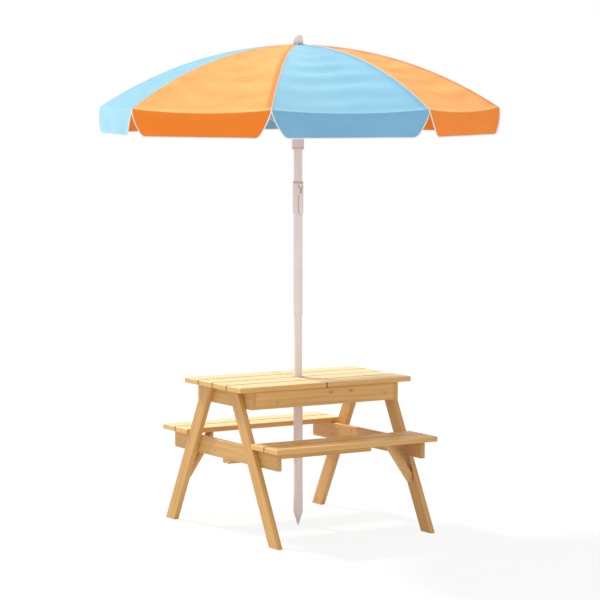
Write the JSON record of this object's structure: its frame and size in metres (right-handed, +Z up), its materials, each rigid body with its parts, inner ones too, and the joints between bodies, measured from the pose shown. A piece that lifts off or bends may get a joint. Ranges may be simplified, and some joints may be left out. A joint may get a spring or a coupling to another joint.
{
  "type": "picnic table with sandbox",
  "caption": "Children's wooden picnic table with a lidded sandbox in the top, attached benches and a folding fabric parasol on a telescopic pole through the middle.",
  "frame": {"origin": "on the ground under the middle of the table and the pole", "axes": "+Z up along the pole, X along the tabletop and benches, -Y towards the front bench"},
  "size_m": [1.3262, 1.3262, 1.6373],
  "materials": {
    "pine": "sanded and oiled softwood",
    "plywood": "plain sheet",
    "pole_paint": "powder coat, satin",
    "frame_steel": "plated wire, satin",
    "fitting": "moulded, satin",
    "cloth": "woven polyester in two colours"
  },
  "bodies": {
    "table": {"left_side_board": "pine", "right_side_board": "pine", "front_panel": "pine", "rear_panel": "pine", "sandbox_floor": "plywood", "left_divider": "pine", "right_divider": "pine", "front_left_leg": "pine", "front_right_leg": "pine", "rear_left_leg": "pine", "rear_right_leg": "pine", "left_beam": "pine", "right_beam": "pine", "stretcher": "pine", "front_bench_outer_plank": "pine", "front_bench_inner_plank": "pine", "rear_bench_outer_plank": "pine", "rear_bench_inner_plank": "pine", "front_right_brace": "pine", "rear_left_brace": "pine"},
    "left_lid": {"left_lid_plank_1": "pine", "left_lid_plank_2": "pine", "left_lid_plank_3": "pine", "left_lid_plank_4": "pine", "left_lid_outer_batten": "pine", "left_lid_inner_batten": "pine"},
    "right_lid": {"right_lid_plank_1": "pine", "right_lid_plank_2": "pine", "right_lid_plank_3": "pine", "right_lid_plank_4": "pine", "right_lid_outer_batten": "pine", "right_lid_inner_batten": "pine"},
    "pole_base": {"ground_spike": "fitting", "lower_pole": "pole_paint"},
    "pole_middle": {"outer_pole": "pole_paint", "clamp_collar": "fitting", "clamp_pin": "frame_steel"},
    "clamp_lever": {"clamp_lever": "fitting"},
    "pole_top": {"upper_pole": "pole_paint", "crown": "fitting", "finial": "fitting", "canopy": "cloth"},
    "runner": {"runner": "fitting"},
    "rib_1": {"rib_1": "frame_steel"},
    "strut_1": {"strut_1": "frame_steel"},
    "rib_2": {"rib_2": "frame_steel"},
    "strut_2": {"strut_2": "frame_steel"},
    "rib_3": {"rib_3": "frame_steel"},
    "strut_3": {"strut_3": "frame_steel"},
    "rib_4": {"rib_4": "frame_steel"},
    "strut_4": {"strut_4": "frame_steel"},
    "rib_5": {"rib_5": "frame_steel"},
    "strut_5": {"strut_5": "frame_steel"},
    "rib_6": {"rib_6": "frame_steel"},
    "strut_6": {"strut_6": "frame_steel"},
    "rib_7": {"rib_7": "frame_steel"},
    "strut_7": {"strut_7": "frame_steel"},
    "rib_8": {"rib_8": "frame_steel"},
    "strut_8": {"strut_8": "frame_steel"}
  },
  "joints": [
    {"name": "left_lid_lift", "type": "slide", "parent": "table", "child": "left_lid", "axis": [0, 0, 1], "range_m": [0, 0.3]},
    {"name": "right_lid_lift", "type": "slide", "parent": "table", "child": "right_lid", "axis": [0, 0, 1], "range_m": [0, 0.3]},
    {"name": "parasol_lift", "type": "slide", "parent": "table", "child": "pole_base", "axis": [0, 0, 1], "range_m": [0, 0.5]},
    {"name": "pole_turn", "type": "hinge", "parent": "pole_base", "child": "pole_middle", "pos_m": [0, 0, 0.709], "axis": [0, 0, 1], "continuous": true},
    {"name": "height_slide", "type": "slide", "parent": "pole_middle", "child": "pole_top", "axis": [0, 0, 1], "range_m": [0, 0.25]},
    {"name": "clamp_lever_hinge", "type": "hinge", "parent": "pole_middle", "child": "clamp_lever", "pos_m": [0, -0.0162, 1.116], "axis": [-1, 0, 0], "range_deg": [0, 100]},
    {"name": "runner_slide", "type": "slide", "parent": "pole_top", "child": "runner", "axis": [0, 0, 1], "range_m": [-0.4038, 0], "deforming": ["canopy"]},
    {"name": "rib_1_hinge", "type": "hinge", "parent": "pole_top", "child": "rib_1", "pos_m": [0.01888, 0.00215, 1.5966], "axis": [-0.1132, 0.9936, 0], "range_deg": [-0.1, 69.7]},
    {"name": "rib_2_hinge", "type": "hinge", "parent": "pole_top", "child": "rib_2", "pos_m": [0.01183, 0.01487, 1.5966], "axis": [-0.7826, 0.6225, 0], "range_deg": [-0.1, 69.7]},
    {"name": "rib_3_hinge", "type": "hinge", "parent": "pole_top", "child": "rib_3", "pos_m": [-0.00215, 0.01888, 1.5966], "axis": [-0.9936, -0.1132, 0], "range_deg": [-0.1, 69.7]},
    {"name": "rib_4_hinge", "type": "hinge", "parent": "pole_top", "child": "rib_4", "pos_m": [-0.01487, 0.01183, 1.5966], "axis": [-0.6225, -0.7826, 0], "range_deg": [-0.1, 69.7]},
    {"name": "rib_5_hinge", "type": "hinge", "parent": "pole_top", "child": "rib_5", "pos_m": [-0.01888, -0.00215, 1.5966], "axis": [0.1132, -0.9936, 0], "range_deg": [-0.1, 69.7]},
    {"name": "rib_6_hinge", "type": "hinge", "parent": "pole_top", "child": "rib_6", "pos_m": [-0.01183, -0.01487, 1.5966], "axis": [0.7826, -0.6225, 0], "range_deg": [-0.1, 69.7]},
    {"name": "rib_7_hinge", "type": "hinge", "parent": "pole_top", "child": "rib_7", "pos_m": [0.00215, -0.01888, 1.5966], "axis": [0.9936, 0.1132, 0], "range_deg": [-0.1, 69.7]},
    {"name": "rib_8_hinge", "type": "hinge", "parent": "pole_top", "child": "rib_8", "pos_m": [0.01487, -0.01183, 1.5966], "axis": [0.6225, 0.7826, 0], "range_deg": [-0.1, 69.7]},
    {"name": "strut_1_hinge", "type": "hinge", "parent": "rib_1", "child": "strut_1", "pos_m": [0.32788, 0.03736, 1.54418], "axis": [0.1132, -0.9936, 0], "range_deg": [-0.1, 114.1]},
    {"name": "strut_2_hinge", "type": "hinge", "parent": "rib_2", "child": "strut_2", "pos_m": [0.20543, 0.25826, 1.54418], "axis": [0.7826, -0.6225, 0], "range_deg": [-0.1, 114.1]},
    {"name": "strut_3_hinge", "type": "hinge", "parent": "rib_3", "child": "strut_3", "pos_m": [-0.03736, 0.32788, 1.54418], "axis": [0.9936, 0.1132, 0], "range_deg": [-0.1, 114.1]},
    {"name": "strut_4_hinge", "type": "hinge", "parent": "rib_4", "child": "strut_4", "pos_m": [-0.25826, 0.20543, 1.54418], "axis": [0.6225, 0.7826, 0], "range_deg": [-0.1, 114.1]},
    {"name": "strut_5_hinge", "type": "hinge", "parent": "rib_5", "child": "strut_5", "pos_m": [-0.32788, -0.03736, 1.54418], "axis": [-0.1132, 0.9936, 0], "range_deg": [-0.1, 114.1]},
    {"name": "strut_6_hinge", "type": "hinge", "parent": "rib_6", "child": "strut_6", "pos_m": [-0.20543, -0.25826, 1.54418], "axis": [-0.7826, 0.6225, 0], "range_deg": [-0.1, 114.1]},
    {"name": "strut_7_hinge", "type": "hinge", "parent": "rib_7", "child": "strut_7", "pos_m": [0.03736, -0.32788, 1.54418], "axis": [-0.9936, -0.1132, 0], "range_deg": [-0.1, 114.1]},
    {"name": "strut_8_hinge", "type": "hinge", "parent": "rib_8", "child": "strut_8", "pos_m": [0.25826, -0.20543, 1.54418], "axis": [-0.6225, -0.7826, 0], "range_deg": [-0.1, 114.1]}
  ],
  "couplings": [
    {"joint": "rib_1_hinge", "follows": "runner_slide", "rad_per_m": -3.004},
    {"joint": "rib_2_hinge", "follows": "runner_slide", "rad_per_m": -3.004},
    {"joint": "rib_3_hinge", "follows": "runner_slide", "rad_per_m": -3.004},
    {"joint": "rib_4_hinge", "follows": "runner_slide", "rad_per_m": -3.004},
    {"joint": "rib_5_hinge", "follows": "runner_slide", "rad_per_m": -3.004},
    {"joint": "rib_6_hinge", "follows": "runner_slide", "rad_per_m": -3.004},
    {"joint": "rib_7_hinge", "follows": "runner_slide", "rad_per_m": -3.004},
    {"joint": "rib_8_hinge", "follows": "runner_slide", "rad_per_m": -3.004},
    {"joint": "strut_1_hinge", "follows": "runner_slide", "rad_per_m": -4.9247},
    {"joint": "strut_2_hinge", "follows": "runner_slide", "rad_per_m": -4.9247},
    {"joint": "strut_3_hinge", "follows": "runner_slide", "rad_per_m": -4.9247},
    {"joint": "strut_4_hinge", "follows": "runner_slide", "rad_per_m": -4.9247},
    {"joint": "strut_5_hinge", "follows": "runner_slide", "rad_per_m": -4.9247},
    {"joint": "strut_6_hinge", "follows": "runner_slide", "rad_per_m": -4.9247},
    {"joint": "strut_7_hinge", "follows": "runner_slide", "rad_per_m": -4.9247},
    {"joint": "strut_8_hinge", "follows": "runner_slide", "rad_per_m": -4.9247}
  ]
}
